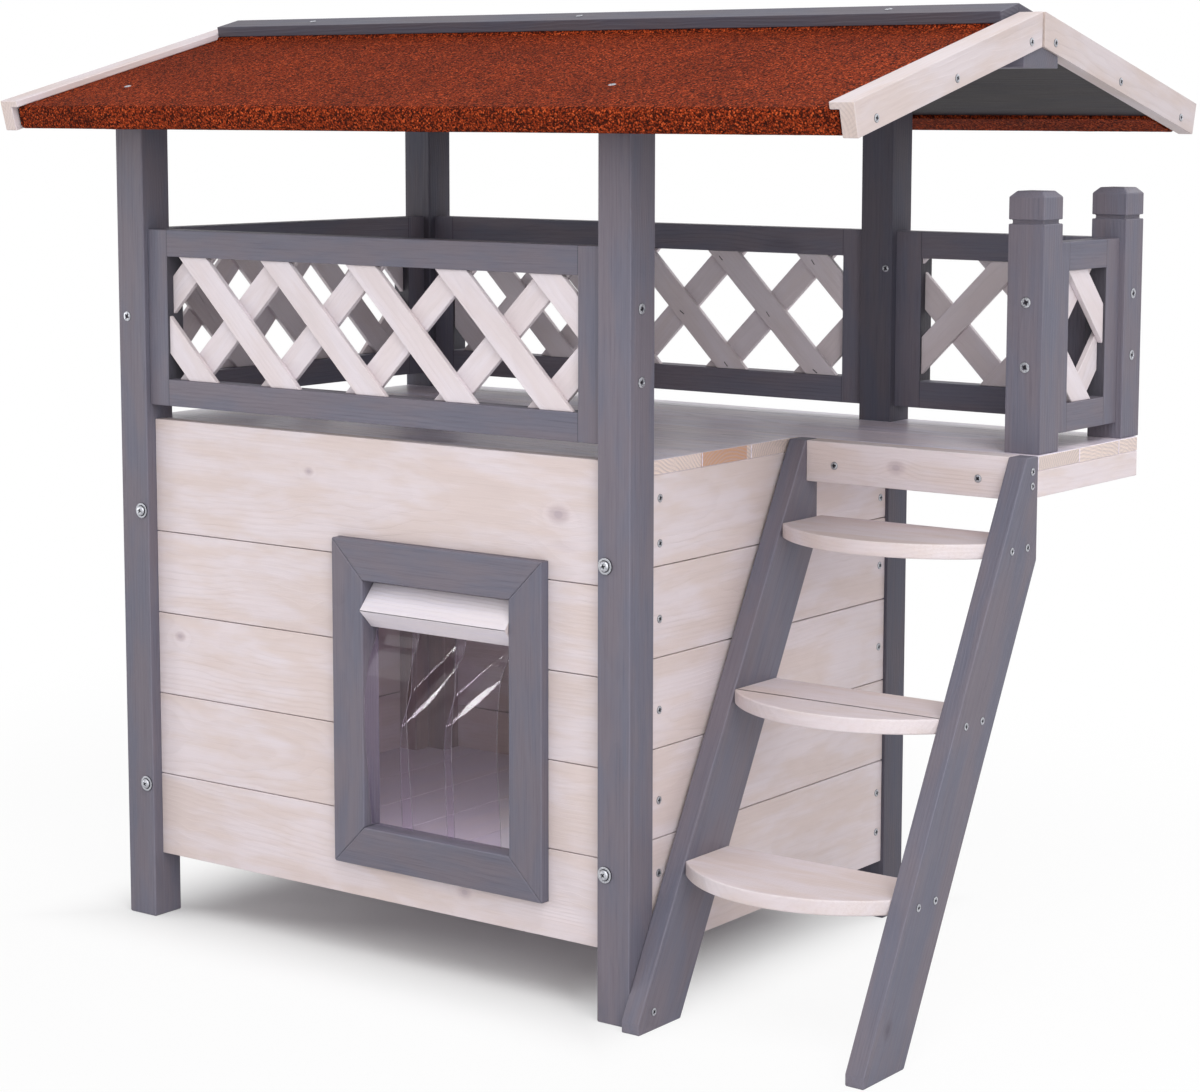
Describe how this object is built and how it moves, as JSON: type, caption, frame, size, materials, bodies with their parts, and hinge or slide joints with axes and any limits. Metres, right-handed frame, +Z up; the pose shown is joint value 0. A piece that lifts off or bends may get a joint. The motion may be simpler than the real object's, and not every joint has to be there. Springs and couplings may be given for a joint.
{
  "type": "cat house",
  "caption": "Wooden cat house on posts: cabin with a clear strip curtain in the doorway, railed deck above, terrace with stairs and a felted gable roof.",
  "frame": {"origin": "On the floor, under the middle of the roof.", "axes": "+X runs along the front from the cabin to the terrace, +Y runs from the door to the rear wall, +Z is up. The door faces -Y."},
  "size_m": [0.8288, 0.5202, 0.7618],
  "materials": {
    "grey_stained_wood": "blue-grey stain, dry brushed grain",
    "whitewashed_wood": "thin whitewash over spruce, grain and knots showing",
    "roofing_felt": "bitumen felt with coarse red-brown mineral granules",
    "clear_strip": "clear soft sheet, glossy",
    "zinc_steel": "zinc plated"
  },
  "bodies": {
    "house": {"post_front_left": "grey_stained_wood", "post_front_right": "grey_stained_wood", "post_rear_left": "grey_stained_wood", "post_rear_right": "grey_stained_wood", "front_board_1": "whitewashed_wood", "front_board_2": "whitewashed_wood", "front_board_3": "whitewashed_wood", "front_board_4": "whitewashed_wood", "front_board_5": "whitewashed_wood", "right_wall_boards": "whitewashed_wood", "left_wall_boards": "whitewashed_wood", "rear_wall_boards": "whitewashed_wood", "corner_cleats": "grey_stained_wood", "floor_boards": "whitewashed_wood", "floor_bearers": "whitewashed_wood", "deck_boards_front": "whitewashed_wood", "deck_boards_rear": "whitewashed_wood", "terrace_fascia": "whitewashed_wood", "terrace_side_beam": "whitewashed_wood", "terrace_joists": "whitewashed_wood", "rail_frame_front": "grey_stained_wood", "rail_frame_left": "grey_stained_wood", "rail_frame_rear": "grey_stained_wood", "rail_frame_terrace_rear": "grey_stained_wood", "rail_frame_terrace_side": "grey_stained_wood", "lattice_front": "whitewashed_wood", "lattice_left": "whitewashed_wood", "lattice_rear": "whitewashed_wood", "lattice_terrace_rear": "whitewashed_wood", "lattice_terrace_side": "whitewashed_wood", "newel_front": "grey_stained_wood", "newel_rear": "grey_stained_wood", "stringer_left": "grey_stained_wood", "stringer_right": "grey_stained_wood", "tread_top": "whitewashed_wood", "tread_middle": "whitewashed_wood", "tread_bottom": "whitewashed_wood", "roof_panel_front": "grey_stained_wood", "roof_panel_rear": "grey_stained_wood", "roof_felt_front": "roofing_felt", "roof_felt_rear": "roofing_felt", "gable_board_right_front": "whitewashed_wood", "gable_board_right_rear": "whitewashed_wood", "gable_board_left_front": "whitewashed_wood", "gable_board_left_rear": "whitewashed_wood", "ridge_cap_front": "grey_stained_wood", "ridge_cap_rear": "grey_stained_wood", "ridge_beam": "grey_stained_wood", "door_frame_top": "grey_stained_wood", "door_frame_bottom": "grey_stained_wood", "door_frame_left": "grey_stained_wood", "door_frame_right": "grey_stained_wood", "rain_bar": "whitewashed_wood", "strip_clamp": "whitewashed_wood", "strip_tabs": "clear_strip", "post_bolts": "zinc_steel", "wood_screws": "zinc_steel"},
    "strip_left": {"strip_left": "clear_strip"},
    "strip_middle": {"strip_middle": "clear_strip"},
    "strip_right": {"strip_right": "clear_strip"}
  },
  "joints": [
    {"name": "strip_middle_swing", "type": "hinge", "parent": "house", "child": "strip_middle", "pos_m": [-0.0155, -0.18025, 0.27415], "axis": [1, 0, 0], "range_deg": [-75, 75]},
    {"name": "strip_left_swing", "type": "hinge", "parent": "house", "child": "strip_left", "pos_m": [-0.0535, -0.18025, 0.27415], "axis": [1, 0, 0], "range_deg": [-75, 75]},
    {"name": "strip_right_swing", "type": "hinge", "parent": "house", "child": "strip_right", "pos_m": [0.0275, -0.18025, 0.27415], "axis": [1, 0, 0], "range_deg": [-75, 75]}
  ],
  "couplings": [
    {"joint": "strip_left_swing", "follows": "strip_middle_swing", "ratio": 1},
    {"joint": "strip_right_swing", "follows": "strip_middle_swing", "ratio": 1}
  ]
}
